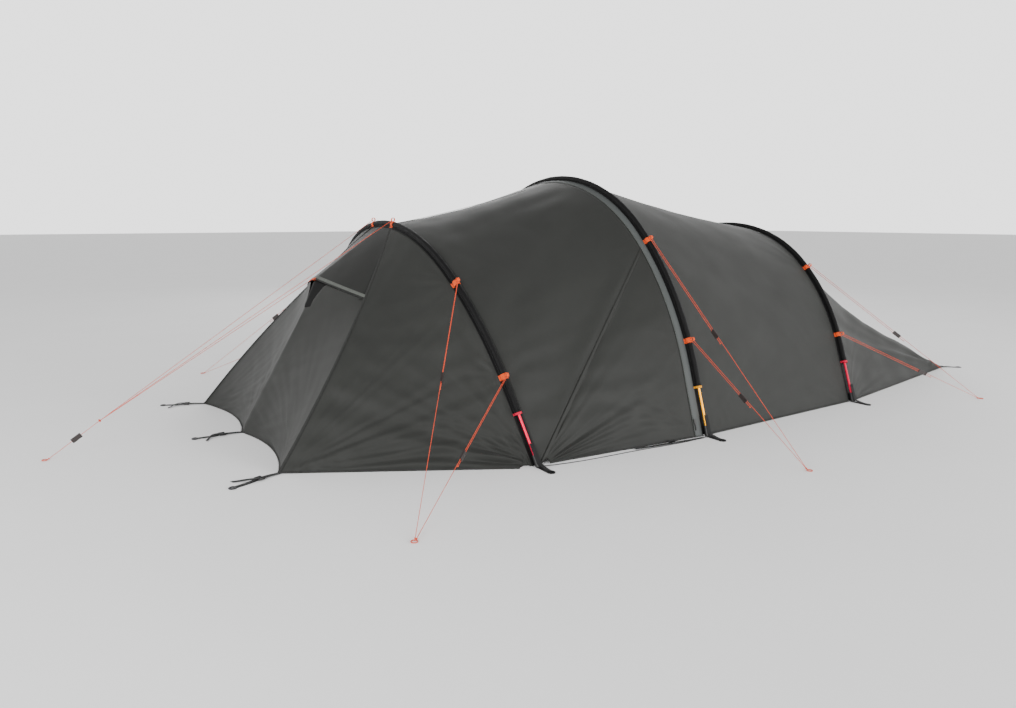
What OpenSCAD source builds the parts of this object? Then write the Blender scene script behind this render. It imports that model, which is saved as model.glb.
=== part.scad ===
// Three-hoop tunnel tent with a tapering vestibule and tail, pitched on its guy lines.
// Millimetres. +X to the tail, +Y to the far side, +Z up. Z = 0 is the ground.

/* [Hoops] */
mid_x = -330;          // middle hoop's foot
front_x = -1180;       // front hoop's foot
rear_x = 770;          // rear hoop's foot
mid_half = 1045;       // half the span at the ground
mid_height = 1100;
end_half = 1000;       // front and rear hoops are alike
end_height = 890;
front_lean = -9;       // degrees, towards the vestibule
rear_lean = 14;        // degrees, towards the tail
leg = 300;             // straight length above each foot
mid_turn = [45, 72];   // crown arc, then side arc, in degrees from the top
end_turn = [40, 64];

/* [Poles and sleeves] */
pole_d = 11;
pole_bore = 9.3;
spigot_d = 9.1;
spigot_bore = 7.5;
bare = 210;            // pole end left uncovered above each foot
pole_split = 240;      // joint between the crown length and the coloured end
pole_lift = 14;        // pole end above the ground, along the leg
sleeve_d = 24;
sleeve_wall = 1.5;
tape_w = 28;           // backing tape behind sleeve and pole end
tape_t = 2.5;

/* [Skin] */
skin = 2;
seat = -12;            // skin level below the hoop's centre line
edge = 15.2;           // skin edge beside the hoop's plane
flap_w = 42;
seam_gap = 3;
zip_top = 0.45;        // fraction of the middle hoop's half arc
crown_top = 0.07;      // half width of the vestibule's centre panel at the hoop
sag = 16;

/* [Vestibule] */
nose_x = -2030;
nose_y = 590;
nose_mid_x = -2005;
seam_bulge = 75;
vent_t = 0.34;         // place of the brim's ends down the seam
hood_tip = [-1655, 0, 640];
vent_sill = [-1702, 0, 518];
hem_curve = 45;

/* [Tail] */
tail_x = 2095;
tail_y = 760;
tail_share = 0.5;
tail_curve = 70;

/* [Feet and pegs] */
cup_d = 22;
cup_h = 46;
peg_ring_d = 30;
peg_hole = 12;
ring_t = 4;
tab_w = 25;
tab_l = 62;
strap_w = 20;
strap_t = 2;

/* [Guy lines] */
line_d = 3;
strand_gap = 8;
loop_d = 18;
loop_hole = 10;
loop_w = 10;
loop_at = [0.45, 0.75];           // fractions of the half arc: upper, lower
front_peg = [-1875, 1340];
mid_peg = [-360, 1530];
rear_peg = [1390, 1290];
nose_peg = -2745;
front_grip = [0.45, 0.55];        // place of each slider on its line
mid_grip = [0.46, 0.48];
rear_grip = [0.53, 0.59];
nose_grip = 0.9;
grip = [40, 18, 7];
grip_bore = 4;

/* [Inner tent] */
inner_gap = 90;
inner_t = 2;
floor_h = 80;
floor_t = 3;
inner_door = [560, 690, 120];     // width, height, sill
hinge_gap = 4;

/* [View] */

$fn = 48;
arc_fn = 360;

// ---- hoop geometry -------------------------------------------------------
// A hoop is [x, half span, height, crown turn, full turn, lean].
front_hoop = [front_x, end_half, end_height, end_turn[0], end_turn[1], front_lean];
mid_hoop = [mid_x, mid_half, mid_height, mid_turn[0], mid_turn[1], 0];
rear_hoop = [rear_x, end_half, end_height, end_turn[0], end_turn[1], rear_lean];

function det(h) = sin(h[3]) * (cos(h[3]) - cos(h[4])) - (sin(h[4]) - sin(h[3])) * (1 - cos(h[3]));
function span(h) = h[1] - leg * cos(h[4]);
function rise(h) = h[2] - leg * sin(h[4]);
function r1(h) = (span(h) * (cos(h[3]) - cos(h[4])) - (sin(h[4]) - sin(h[3])) * rise(h)) / det(h);
function r2(h) = (sin(h[3]) * rise(h) - (1 - cos(h[3])) * span(h)) / det(h);
function s1(h) = r1(h) * h[3] * PI / 180;
function s2(h) = s1(h) + r2(h) * (h[4] - h[3]) * PI / 180;
function s3(h) = s2(h) + leg;
function turn(h, s) = s < s1(h) ? s / r1(h) * 180 / PI
    : s < s2(h) ? h[3] + (s - s1(h)) / r2(h) * 180 / PI : h[4];
function side_c(h) = [(r1(h) - r2(h)) * sin(h[3]), h[2] - r1(h) + (r1(h) - r2(h)) * cos(h[3])];
function yz(h, s, off) = let (f = turn(h, s))
    s < s1(h) ? [(r1(h) + off) * sin(f), h[2] - r1(h) + (r1(h) + off) * cos(f)]
    : s < s2(h) ? side_c(h) + (r2(h) + off) * [sin(f), cos(f)]
    : side_c(h) + (r2(h) + off) * [sin(f), cos(f)] + (s - s2(h)) * [cos(f), -sin(f)];
function place(h, dx, p) = [h[0] + dx * cos(h[5]) + p[1] * sin(h[5]), p[0], p[1] * cos(h[5]) - dx * sin(h[5])];
function at(h, s, off, dx) = let (p = yz(h, abs(s), off)) place(h, dx, [s < 0 ? -p[0] : p[0], p[1]]);
function ground(p) = [p[0], p[1], max(p[2], 0)];
function on(h, u, off, dx) = ground(at(h, u * s3(h), off, dx));
function lerp(a, b, t) = a + (b - a) * t;
function unit(v) = v / norm(v);
function toward(a, b, d) = a + unit(b - a) * d;
function mirror_y(p) = [p[0], -p[1], p[2]];
function side(p, k) = k < 0 ? p : mirror_y(p);

module hoop_frame(h) translate([h[0], 0, 0]) rotate([0, h[5], 0]) children();

// Neighbouring lengths of a hoop stay this far apart, as separate solids.
joint_gap = 0.1;
module arc_part(c, r, a0, a1)
  let (g = joint_gap / 2 / r * 180 / PI)
    if (a1 - a0 > 0.001)
      translate([0, c[0], c[1]]) rotate([0, -90, 0]) rotate([0, 0, a0 + g])
        rotate_extrude(angle = a1 - a0 - 2 * g, $fn = arc_fn) translate([r, 0]) children();

module leg_part(h, s, l, k)
  if (l > 0.001) let (g = joint_gap / 2, p = yz(h, k > 0 ? s + g : s + l - g, 0))
    translate([0, k * p[0], p[1]]) rotate([0, -90, 0]) rotate([0, 0, k * h[4]])
      rotate([-90, 0, 0]) linear_extrude(l - 2 * g) children();

// Sweeps a profile (x outwards from the hoop, y across it) from arc length a to b.
module sweep(h, a, b) hoop_frame(h) {
  c = s1(h);
  d = s2(h);
  q = 180 / PI;
  arc_part([0, h[2] - r1(h)], r1(h), max(a, -c) / r1(h) * q, min(b, c) / r1(h) * q) children();
  if (b > c) arc_part(side_c(h), r2(h), h[3] + (max(a, c) - c) / r2(h) * q,
      h[3] + (min(b, d) - c) / r2(h) * q) children();
  if (a < -c) arc_part([-side_c(h)[0], side_c(h)[1]], r2(h), -h[3] - (min(-a, d) - c) / r2(h) * q,
      -h[3] - (max(-b, c) - c) / r2(h) * q) children();
  if (b > d) leg_part(h, max(a, d), b - max(a, d), 1) children();
  if (a < -d) leg_part(h, max(-b, d), -a - max(-b, d), -1) children();
}

module tube2d(d, bore) difference() { circle(d = d); circle(d = bore); }
module above_ground() intersection() { children(); translate([-4000, -3000, 0]) cube([8000, 6000, 3000]); }

// ---- skin ----------------------------------------------------------------
// Closes a grid of outer points into a shell; the inner face lies towards [cx, 0, 0].
function inward(p, cx, t) = toward(p, [is_undef(cx) ? p[0] : cx, 0, 0], t);
module shell(g, cx, flip = false, t = skin) {
  n = len(g) - 1;
  m = len(g[0]) - 1;
  w = m + 1;
  k = (n + 1) * w;
  outer = [for (r = g) for (p = r) p];
  inner = [for (p = outer) inward(p, cx, t)];
  faces = concat(
    [for (j = [0:n - 1]) for (i = [0:m - 1]) let (a = j * w + i)
      each [[a, a + w, a + w + 1], [a, a + w + 1, a + 1],
            [k + a, k + a + w + 1, k + a + w], [k + a, k + a + 1, k + a + w + 1]]],
    [for (i = [0:m - 1]) let (a = i, b = n * w + i)
      each [[a, a + 1, k + a + 1], [a, k + a + 1, k + a],
            [b + 1, b, k + b], [b + 1, k + b, k + b + 1]]],
    [for (j = [0:n - 1]) let (a = j * w, b = j * w + m)
      each [[a + w, a, k + a], [a + w, k + a, k + a + w],
            [b, b + w, k + b + w], [b, k + b + w, k + b]]]);
  polyhedron(points = concat(outer, inner),
    faces = flip ? faces : [for (f = faces) [f[0], f[2], f[1]]], convexity = 6);
}
function steps(a, b, n) = [for (i = [0:n]) lerp(a, b, i / n)];
function flip_rows(g) = [for (r = g) [for (p = r) mirror_y(p)]];
function pull(p, cx, d) = ground(inward(p, cx, d));

front_toe = on(front_hoop, -1, seat, edge);
door_toe = toward(front_toe, on(mid_hoop, -1, seat, -edge), 14);
function flap_target(u) = abs(u) > zip_top ? side(front_toe, u) : on(front_hoop, u / zip_top, seat, edge);
function flap_edge(u, d) = let (p = on(mid_hoop, u, seat, -edge)) ground(toward(p, flap_target(u), d));

module front_roof() color("dimgray")
  shell([for (t = steps(0, 1, 6)) [for (u = steps(-1, 1, 30))
    let (q = on(front_hoop, u, seat, edge), p = flap_edge(u * zip_top, flap_w + seam_gap))
      pull(lerp(p, q, t), undef, sag * 4 * t * (1 - t) * (1 - pow(abs(u), 4)))]], undef, true);

function door_grid() = [for (t = steps(0, 1, 7)) [for (i = [0:12])
    let (u = -lerp(zip_top + 0.006, 1, i / 12),
         p = ground(toward(on(mid_hoop, u, seat, -edge), door_toe, flap_w + seam_gap)),
         q = toward(door_toe, p, 75))
      pull(lerp(p, q, t), undef, 10 * 4 * t * (1 - t) * sin(180 * i / 12))]];
module door_near() color("gray") shell(door_grid(), undef, false);
module door_far() color("gray") shell(flip_rows(door_grid()), undef, true);

module storm_flap() color("silver")
  shell([for (t = [0, 1]) [for (u = steps(-1, 1, 48)) flap_edge(u, t * flap_w)]], undef, true);

module rear_roof() color("dimgray")
  shell([for (t = steps(0, 1, 6)) [for (u = steps(-1, 1, 30))
    pull(lerp(on(mid_hoop, u, seat, edge), on(rear_hoop, u, seat, -edge), t), undef,
      sag * 4 * t * (1 - t) * (1 - pow(abs(u), 6)))]], undef, false);

function tail_hem(u) = let (k = abs(u), s = sign(u), c = tail_share,
    foot = on(rear_hoop, s, seat, edge) + [60, -s * 10, 0])
    k >= c ? lerp([tail_x, s * tail_y, 0], [foot[0], foot[1], 0], (k - c) / (1 - c))
    : [tail_x - tail_curve * (1 - pow(k / c, 2)), tail_y * u / c, 0];
module tail_panel() color("dimgray")
  shell([for (t = steps(0, 1, 8)) [for (u = steps(-1, 1, 32))
    pull(lerp(on(rear_hoop, u, seat, edge), tail_hem(u), t), rear_x,
      55 * 4 * t * (1 - t) * (1 - pow(abs(u), 4)))]], rear_x, false);

// ---- vestibule -----------------------------------------------------------
vest_c = -1050;
vest_rows = 8;
vest_cols = 16;
nose_near = [nose_x, -nose_y, 0];
seam_top = on(front_hoop, -crown_top, seat, -edge);
function seam(t) = lerp(seam_top, nose_near, t) + [0, -seam_bulge * 4 * t * (1 - t), 12 * 4 * t * (1 - t)];
brim_end = seam(vent_t);
function vest_grid() = [for (t = steps(0, 1, vest_rows)) [for (u = steps(-crown_top, -1, vest_cols))
    let (f = (1 + u) / (1 - crown_top), w = pow(f, 3), b = 4 * t * (1 - t),
         foot = on(front_hoop, -1, seat, -edge) + [-60, 6, 0], q = lerp([foot[0], foot[1], 0], nose_near, f))
      pull(lerp(on(front_hoop, u, seat, -edge), q, t) + w * b * [0, -seam_bulge, 12], vest_c,
        20 * b * (1 - w))]];
module vestibule_near() color("dimgray") shell(vest_grid(), vest_c, true);
module vestibule_far() color("dimgray") mirror([0, 1, 0]) shell(vest_grid(), vest_c, true);

// Between the centre crease and a seam: k runs from -1 (near seam) to 1 (far seam).
function across(mid, edge_p, k) = lerp(mid, side(edge_p, k), abs(k));
function centre_line(v) = lerp(vent_sill, [nose_mid_x, 0, 0], v);
module vestibule_centre() color("dimgray")
  shell([for (v = steps(0, 1, 8)) [for (k = steps(-0.985, 0.985, 16))
    let (t = lerp(vent_t + 0.012, 1, v), p = across(centre_line(v), seam(t), k))
      ground(pull(p, vest_c, 10 * 4 * abs(k) * (1 - abs(k)))
        + [hem_curve * pow(v, 3) * 4 * abs(k) * (1 - abs(k)), 0, 0])]], vest_c, false);

function brim(k) = across(hood_tip, brim_end, k);
module vent_hood() color("dimgray")
  shell([for (v = steps(0, 1, 5)) [for (k = steps(-0.985, 0.985, 12))
    across(lerp(on(front_hoop, 0, seat, -edge), hood_tip, v), seam(vent_t * v), k)]], vest_c, false);
module vent_mesh() color("black")
  shell([for (v = steps(0, 1, 2)) [for (k = steps(-0.9, 0.9, 12))
    lerp(pull(brim(k), vest_c, 6), pull(across(vent_sill, brim_end, k), vest_c, -3), v)]], vest_c, false, 1);

// ---- poles ---------------------------------------------------------------
module crown_pole(h) {
  e = s3(h) - pole_split;
  sweep(h, -e, e) tube2d(pole_d, spigot_d);
  hoop_frame(h) for (k = [-1, 1]) leg_part(h, e - 38, 83, k) tube2d(spigot_d, spigot_bore);
}
module pole_end(h, k) {
  a = s3(h) - pole_split;
  b = s3(h) - pole_lift;
  sweep(h, k > 0 ? a : -b, k > 0 ? b : -a) tube2d(pole_d, pole_bore);
}
module sleeve(h) color("black") {
  e = s3(h) - bare;
  f = s3(h) - 12;
  sweep(h, -e, e) {
    tube2d(sleeve_d, sleeve_d - 2 * sleeve_wall);
    translate([seat - 2, -tape_w / 2]) square([tape_t, tape_w]);
  }
  for (k = [-1, 1]) sweep(h, k > 0 ? e : -f, k > 0 ? f : -e) translate([seat - 2, -tape_w / 2]) square([tape_t, tape_w]);
}
module front_pole() color("silver") crown_pole(front_hoop);
module middle_pole() color("silver") crown_pole(mid_hoop);
module rear_pole() color("silver") crown_pole(rear_hoop);
module front_pole_end_near() color("hotpink") pole_end(front_hoop, -1);
module front_pole_end_far() color("hotpink") pole_end(front_hoop, 1);
module middle_pole_end_near() color("gold") pole_end(mid_hoop, -1);
module middle_pole_end_far() color("gold") pole_end(mid_hoop, 1);
module rear_pole_end_near() color("hotpink") pole_end(rear_hoop, -1);
module rear_pole_end_far() color("hotpink") pole_end(rear_hoop, 1);
module front_sleeve() sleeve(front_hoop);
module middle_sleeve() sleeve(mid_hoop);
module rear_sleeve() sleeve(rear_hoop);

// A cup on the pole's end, a webbing tab and a flat ring for a peg.
module peg_ring() difference() {
  cylinder(d = peg_ring_d, h = ring_t);
  translate([0, 0, -1]) cylinder(d = peg_hole, h = ring_t + 2);
}
module foot(h, k) color("black") {
  toe = at(h, k * s3(h), 0, 0);
  far = k * (abs(toe[1]) + 12 + tab_l);
  difference() {
    above_ground() {
      sweep(h, k > 0 ? s3(h) - cup_h : -s3(h) - 14, k > 0 ? s3(h) + 14 : -s3(h) + cup_h) circle(d = cup_d);
      translate([toe[0] - tab_w / 2, min(k * abs(toe[1]), far), 0]) cube([tab_w, abs(far - k * abs(toe[1])), 3]);
      translate([toe[0], far, 0]) cylinder(d = peg_ring_d, h = ring_t);
    }
    sweep(h, k > 0 ? s3(h) - cup_h - 1 : -s3(h) + pole_lift - 0.5, k > 0 ? s3(h) - pole_lift + 0.5 : -s3(h) + cup_h + 1)
      circle(d = pole_d + 0.4);
    translate([toe[0], far, -1]) cylinder(d = peg_hole, h = ring_t + 2);
  }
}
module front_foot_near() foot(front_hoop, -1);
module front_foot_far() foot(front_hoop, 1);
module middle_foot_near() foot(mid_hoop, -1);
module middle_foot_far() foot(mid_hoop, 1);
module rear_foot_near() foot(rear_hoop, -1);
module rear_foot_far() foot(rear_hoop, 1);

// ---- zips ----------------------------------------------------------------
module zip_slider(k) color("black") hoop_frame(mid_hoop)
  let (p = yz(mid_hoop, s3(mid_hoop) - 70, seat))
    translate([-edge - flap_w + 7, k * p[0], p[1]]) rotate([k * (90 - mid_turn[1]), 0, 0])
      translate([-5, k > 0 ? 1.2 : -5.2, -11]) {
        cube([10, 4, 22]);
        translate([3, 0, -26]) cube([4, 4, 30]);
      }
module zip_slider_near() zip_slider(-1);
module zip_slider_far() zip_slider(1);

// ---- ground straps -------------------------------------------------------
module strap(p, dir, l) color("black") translate([p[0], p[1], 0]) rotate([0, 0, dir]) {
  difference() {
    union() {
      translate([4, -strap_w / 2, 0]) cube([l - 4, strap_w, strap_t]);
      translate([l, 0, 0]) cylinder(d = peg_ring_d, h = ring_t);
    }
    translate([l, 0, -1]) cylinder(d = peg_hole, h = ring_t + 2);
  }
}
nose_l = 190;
tail_l = 90;
module nose_strap_near() strap([nose_x, -nose_y], 180 + 20, nose_l);
module nose_strap_far() strap([nose_x, nose_y], 180 - 20, nose_l);
module nose_strap_mid() strap([nose_mid_x, 0], 180, nose_l);
module tail_strap_near() strap([tail_x, -tail_y], -35, tail_l);
module tail_strap_far() strap([tail_x, tail_y], 35, tail_l);

// ---- guy lines -----------------------------------------------------------
function yaw(v) = atan2(v[1], v[0]);
function pitch(v) = acos(v[2] / norm(v));
module along(a, b) translate(a) rotate([0, pitch(b - a), yaw(b - a)]) children();
module cord(a, b) along(a, b) cylinder(d = line_d, h = norm(b - a), $fn = 8);
function peg_of(p, k) = [p[0], k * p[1], line_d / 2 + 0.2];
function loop_c(h, u) = at(h, u * s3(h), sleeve_d / 2 + loop_d / 2 + 0.4, 0);
// A line starts at the loop and ends at the near rim of its peg ring.
function rim(c, p) = let (d = unit([c[0] - p[0], c[1] - p[1]])) p + [d[0], d[1], 0] * 9.5;

module loop(h, u) hoop_frame(h) let (s = abs(u) * s3(h), p = yz(h, s, sleeve_d / 2 + loop_d / 2 + 0.4))
  translate([-loop_w / 2, sign(u) * p[0], p[1]]) rotate([0, 90, 0]) difference() {
    cylinder(d = loop_d, h = loop_w);
    translate([0, 0, -1]) cylinder(d = loop_hole, h = loop_w + 2);
  }
// The second strand of each line comes back from the loop and ends in a short free tail past the slider.
module line_set(h, peg, g, k) {
  p = peg_of(peg, k);
  for (i = [0, 1]) let (u = k * loop_at[i], c = loop_c(h, u), a = toward(c, p, loop_hole / 2 + 1), e = rim(c, p)) {
    cord(a, e);
    loop(h, u);
    along(a, e) translate([-line_d / 2, 0, 0]) rotate([0, 90, 0]) cylinder(d = line_d, h = strand_gap + line_d, $fn = 8);
    along(a, e) translate([strand_gap, 0, 0]) cylinder(d = line_d, h = g[i] * norm(e - a) + 45, $fn = 8);
  }
  translate([p[0], p[1], 0]) difference() {
    cylinder(d = 24, h = line_d + 0.6);
    translate([0, 0, -1]) cylinder(d = peg_hole, h = line_d + 3);
  }
}
module guy(h, peg, g, k) color("orangered") mirror([0, k < 0 ? 1 : 0, 0]) above_ground() line_set(h, peg, g, 1);
module front_guy_near() guy(front_hoop, front_peg, front_grip, -1);
module front_guy_far() guy(front_hoop, front_peg, front_grip, 1);
module middle_guy_near() guy(mid_hoop, mid_peg, mid_grip, -1);
module middle_guy_far() guy(mid_hoop, mid_peg, mid_grip, 1);
module rear_guy_near() guy(rear_hoop, rear_peg, rear_grip, -1);
module rear_guy_far() guy(rear_hoop, rear_peg, rear_grip, 1);

nose_p = [nose_peg, 0, line_d / 2 + 0.2];
nose_start = at(front_hoop, 0, sleeve_d / 2 + loop_d / 2 + 0.4, 0);
module nose_guy() color("orangered") above_ground() {
  for (k = [-1, 1]) let (c = loop_c(front_hoop, k * crown_top)) {
    translate(c - [0, loop_w / 2, 0]) rotate([-90, 0, 0]) difference() {
      cylinder(d = loop_d, h = loop_w);
      translate([0, 0, -1]) cylinder(d = loop_hole, h = loop_w + 2);
    }
    cord(toward(c, nose_p, loop_hole / 2 + 1), nose_knot);
  }
  cord(hood_tip + [-6, 0, 2], nose_knot);
  translate(nose_knot) sphere(d = 9);
  cord(nose_knot, rim(nose_knot, nose_p));
  translate([nose_p[0], 0, 0]) difference() {
    cylinder(d = 24, h = line_d + 0.6);
    translate([0, 0, -1]) cylinder(d = peg_hole, h = line_d + 3);
  }
}
nose_knot = lerp(nose_start, nose_p, 0.86);

// A slider: a flat bar with a bore for each strand.
module grip_bar(a, e, g, two) color("dimgray") along(a, e)
  translate([two ? strand_gap / 2 : 0, 0, g * norm(e - a) - grip[0] / 2]) difference() {
    translate([-grip[1] / 2, -grip[2] / 2, 0]) cube([grip[1], grip[2], grip[0]]);
    for (x = two ? [-strand_gap / 2, strand_gap / 2] : [0])
      translate([x, 0, -1]) cylinder(d = grip_bore, h = grip[0] + 2);
  }
module side_grip(h, peg, g, i, k) let (p = peg_of(peg, k), c = loop_c(h, k * loop_at[i]))
  grip_bar(toward(c, p, loop_hole / 2 + 1), rim(c, p), g[i], true);
module grip_front_near_upper() side_grip(front_hoop, front_peg, front_grip, 0, -1);
module grip_front_near_lower() side_grip(front_hoop, front_peg, front_grip, 1, -1);
module grip_front_far_upper() side_grip(front_hoop, front_peg, front_grip, 0, 1);
module grip_front_far_lower() side_grip(front_hoop, front_peg, front_grip, 1, 1);
module grip_middle_near_upper() side_grip(mid_hoop, mid_peg, mid_grip, 0, -1);
module grip_middle_near_lower() side_grip(mid_hoop, mid_peg, mid_grip, 1, -1);
module grip_middle_far_upper() side_grip(mid_hoop, mid_peg, mid_grip, 0, 1);
module grip_middle_far_lower() side_grip(mid_hoop, mid_peg, mid_grip, 1, 1);
module grip_rear_near_upper() side_grip(rear_hoop, rear_peg, rear_grip, 0, -1);
module grip_rear_near_lower() side_grip(rear_hoop, rear_peg, rear_grip, 1, -1);
module grip_rear_far_upper() side_grip(rear_hoop, rear_peg, rear_grip, 0, 1);
module grip_rear_far_lower() side_grip(rear_hoop, rear_peg, rear_grip, 1, 1);
module grip_nose() grip_bar(nose_knot, rim(nose_knot, nose_p), 0.45, false);

// ---- inner tent ----------------------------------------------------------
wall_x = inner_gap + 12;
floor_front = mid_x + wall_x - 20;
floor_pts = [[floor_front, -925], [rear_x, -880], [1690, -600], [1690, 600], [rear_x, 880], [floor_front, 925]];
module inner_floor() color("darkslategray") difference() {
  linear_extrude(floor_h) polygon(floor_pts);
  translate([0, 0, floor_t]) linear_extrude(floor_h)
    polygon([[floor_front + 3, -921], [rear_x, -876], [1686, -597], [1686, 597], [rear_x, 876], [floor_front + 3, 921]]);
}
inner_off = seat - inner_gap;
function low(p) = [p[0], p[1], max(p[2], floor_h + 4)];
module inner_canopy() color("khaki") {
  us = steps(-0.9, 0.9, 24);
  rows = [
    [for (u = us) low(on(mid_hoop, u, inner_off, wall_x + 6))],
    [for (u = us) low(on(mid_hoop, u, inner_off, wall_x + 300) - [0, 0, 20 * (1 - abs(u))])],
    [for (u = us) low(on(rear_hoop, u, inner_off - 10, -edge))],
    [for (u = us) let (a = u / 0.9 * 90) [1330, 690 * sin(a), floor_h + 4 + 290 * pow(cos(a), 0.8)]],
    [for (u = us) let (a = u / 0.9 * 90) [1640, 590 * sin(a), floor_h + 4 + 30 * cos(a)]]];
  shell(rows, 400, false, inner_t);
}
door_y = 0;
module inner_wall() color("khaki") translate([mid_x + wall_x, 0, 0]) rotate([90, 0, 90]) linear_extrude(inner_t)
  difference() {
    polygon([for (u = steps(-0.93, 0.93, 48)) let (p = on(mid_hoop, u, inner_off, 0)) [p[1], max(p[2], floor_h + 4)]]);
    door_outline(hinge_gap);
  }
module door_outline(g) {
  w = inner_door[0] / 2 + g;
  r = 160 + g;
  translate([-w, inner_door[2] - g]) square([2 * w, inner_door[1] - 160 + g]);
  translate([-w + r, inner_door[2] - g]) square([2 * w - 2 * r, inner_door[1] + 2 * g]);
  for (s = [-1, 1]) translate([s * (w - r), inner_door[2] + inner_door[1] - 160]) circle(r = r);
}
module inner_door_leaf() color("orange") translate([mid_x + wall_x, 0, 0]) rotate([90, 0, 90])
  linear_extrude(inner_t) door_outline(0);

// ---- assembly ------------------------------------------------------------
front_pole();
front_pole_end_near();
front_pole_end_far();
middle_pole();
middle_pole_end_near();
middle_pole_end_far();
rear_pole();
rear_pole_end_near();
rear_pole_end_far();
front_sleeve();
middle_sleeve();
rear_sleeve();
front_foot_near();
front_foot_far();
middle_foot_near();
middle_foot_far();
rear_foot_near();
rear_foot_far();
front_roof();
door_near();
door_far();
storm_flap();
rear_roof();
tail_panel();
vestibule_near();
vestibule_far();
vestibule_centre();
vent_hood();
vent_mesh();
zip_slider_near();
zip_slider_far();
inner_floor();
inner_canopy();
inner_wall();
inner_door_leaf();
nose_strap_near();
nose_strap_mid();
nose_strap_far();
tail_strap_near();
tail_strap_far();
front_guy_near();
front_guy_far();
middle_guy_near();
middle_guy_far();
rear_guy_near();
rear_guy_far();
nose_guy();
grip_front_near_upper();
grip_front_near_lower();
grip_front_far_upper();
grip_front_far_lower();
grip_middle_near_upper();
grip_middle_near_lower();
grip_middle_far_upper();
grip_middle_far_lower();
grip_rear_near_upper();
grip_rear_near_lower();
grip_rear_far_upper();
grip_rear_far_lower();
grip_nose();
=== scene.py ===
import math
from math import cos, pi, radians, sin

import bmesh
import bpy
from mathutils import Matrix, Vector, noise


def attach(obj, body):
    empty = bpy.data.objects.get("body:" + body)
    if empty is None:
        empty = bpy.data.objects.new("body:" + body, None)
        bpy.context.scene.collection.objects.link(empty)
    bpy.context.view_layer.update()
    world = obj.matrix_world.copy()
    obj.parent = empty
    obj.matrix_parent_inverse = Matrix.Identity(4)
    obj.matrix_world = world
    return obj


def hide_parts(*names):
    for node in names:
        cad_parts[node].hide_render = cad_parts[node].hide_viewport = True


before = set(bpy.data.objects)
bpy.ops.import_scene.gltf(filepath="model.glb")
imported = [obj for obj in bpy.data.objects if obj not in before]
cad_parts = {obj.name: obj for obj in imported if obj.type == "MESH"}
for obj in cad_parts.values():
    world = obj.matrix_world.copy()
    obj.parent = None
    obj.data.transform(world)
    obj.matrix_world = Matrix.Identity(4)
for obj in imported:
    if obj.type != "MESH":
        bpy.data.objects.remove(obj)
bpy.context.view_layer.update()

# ---- camera ---------------------------------------------------------------
camera = bpy.data.objects.new("camera", bpy.data.cameras.new("camera"))
bpy.context.scene.collection.objects.link(camera)
camera.location = (-2.786, -3.089, 0.901)
camera.rotation_euler = (radians(79.779), 0, radians(-30.314))
camera.data.sensor_fit = "HORIZONTAL"
camera.data.sensor_width = 36
camera.data.lens = 26.325
camera.data.shift_x = 0.0587
camera.data.shift_y = -0.002
bpy.context.scene.camera = camera

# ---- hoop geometry, as in part.scad, in metres -------------------------------
LEG = 0.3                         # straight length at each foot of a hoop
SEAT, EDGE = -0.012, 0.0152       # where cloth meets a sleeve: outwards, and across
FLAP_W, SEAM_GAP = 0.042, 0.003   # storm flap's width, and its gap to the next panel
SEAM_LAP = FLAP_W + SEAM_GAP - 0.003   # where the next panel starts, 3 mm nearer than that gap
ZIP_TOP, CROWN = 0.45, 0.07       # shares of half a hoop, from its top
SLEEVE_R, BARE = 0.012, 0.210     # sleeve's radius, and the bare pole below it
ZIP_R = 0.0022
TENT = "tent"

# ---- thicknesses and widths of cloth, tape and webbing ------------------------
CLOTH_T, NET_T, HINGE_T, FLOOR_T = 0.0012, 0.0006, 0.0006, 0.0008
SLEEVE_T, SEAM_T = 0.0009, 0.0009
TAPE_T, WEB_T, LOOP_T = 0.0016, 0.0014, 0.0018
HEM_W, WEB_W, STRAP_W = 0.012, 0.020, 0.014


def V(*p):
    return Vector(p)


def lerp(a, b, t):
    return a + (b - a) * t


def smooth(t):
    t = min(max(t, 0.0), 1.0)
    return t * t * (3 - 2 * t)


class Hoop:
    """A pole hoop: crown arc, two shoulder arcs and two straight legs, leaning by lean degrees."""

    def __init__(self, name, x, half, height, crown, full, lean):
        self.name, self.x, self.height, self.lean = name, x, height, radians(lean)
        self.a1, self.a2 = radians(crown), radians(full)
        w, r = half - LEG * cos(self.a2), height - LEG * sin(self.a2)
        a, b = sin(self.a1), sin(self.a2) - sin(self.a1)
        c, d = 1 - cos(self.a1), cos(self.a1) - cos(self.a2)
        det = a * d - b * c
        self.r1, self.r2 = (w * d - b * r) / det, (a * r - c * w) / det
        self.s1 = self.r1 * self.a1
        self.s2 = self.s1 + self.r2 * (self.a2 - self.a1)
        self.s3 = self.s2 + LEG

    def at(self, s, off=0.0, dx=0.0):
        """The point s metres along from the top, off outwards and dx across."""
        m = abs(s)
        if m < self.s1:
            f = m / self.r1
            y = (self.r1 + off) * sin(f)
            z = self.height - self.r1 + (self.r1 + off) * cos(f)
        else:
            f = min(self.a1 + (m - self.s1) / self.r2, self.a2)
            k = self.r1 - self.r2
            y = k * sin(self.a1) + (self.r2 + off) * sin(f)
            z = self.height - self.r1 + k * cos(self.a1) + (self.r2 + off) * cos(f)
            if m > self.s2:
                y += (m - self.s2) * cos(f)
                z -= (m - self.s2) * sin(f)
        c, q = cos(self.lean), sin(self.lean)
        return V(self.x + dx * c + z * q, -y if s < 0 else y, z * c - dx * q)

    def on(self, u, off, dx):
        """The point at share u of half the hoop, kept at or above the ground."""
        return ground(self.at(u * self.s3, off, dx))

    def axis(self):
        """A unit vector across the hoop's plane."""
        return (self.at(0, 0, 1) - self.at(0, 0, 0)).normalized()


def above(p, height):
    return V(p.x, p.y, max(p.z, height))


def ground(p):
    return above(p, 0.0)


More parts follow.
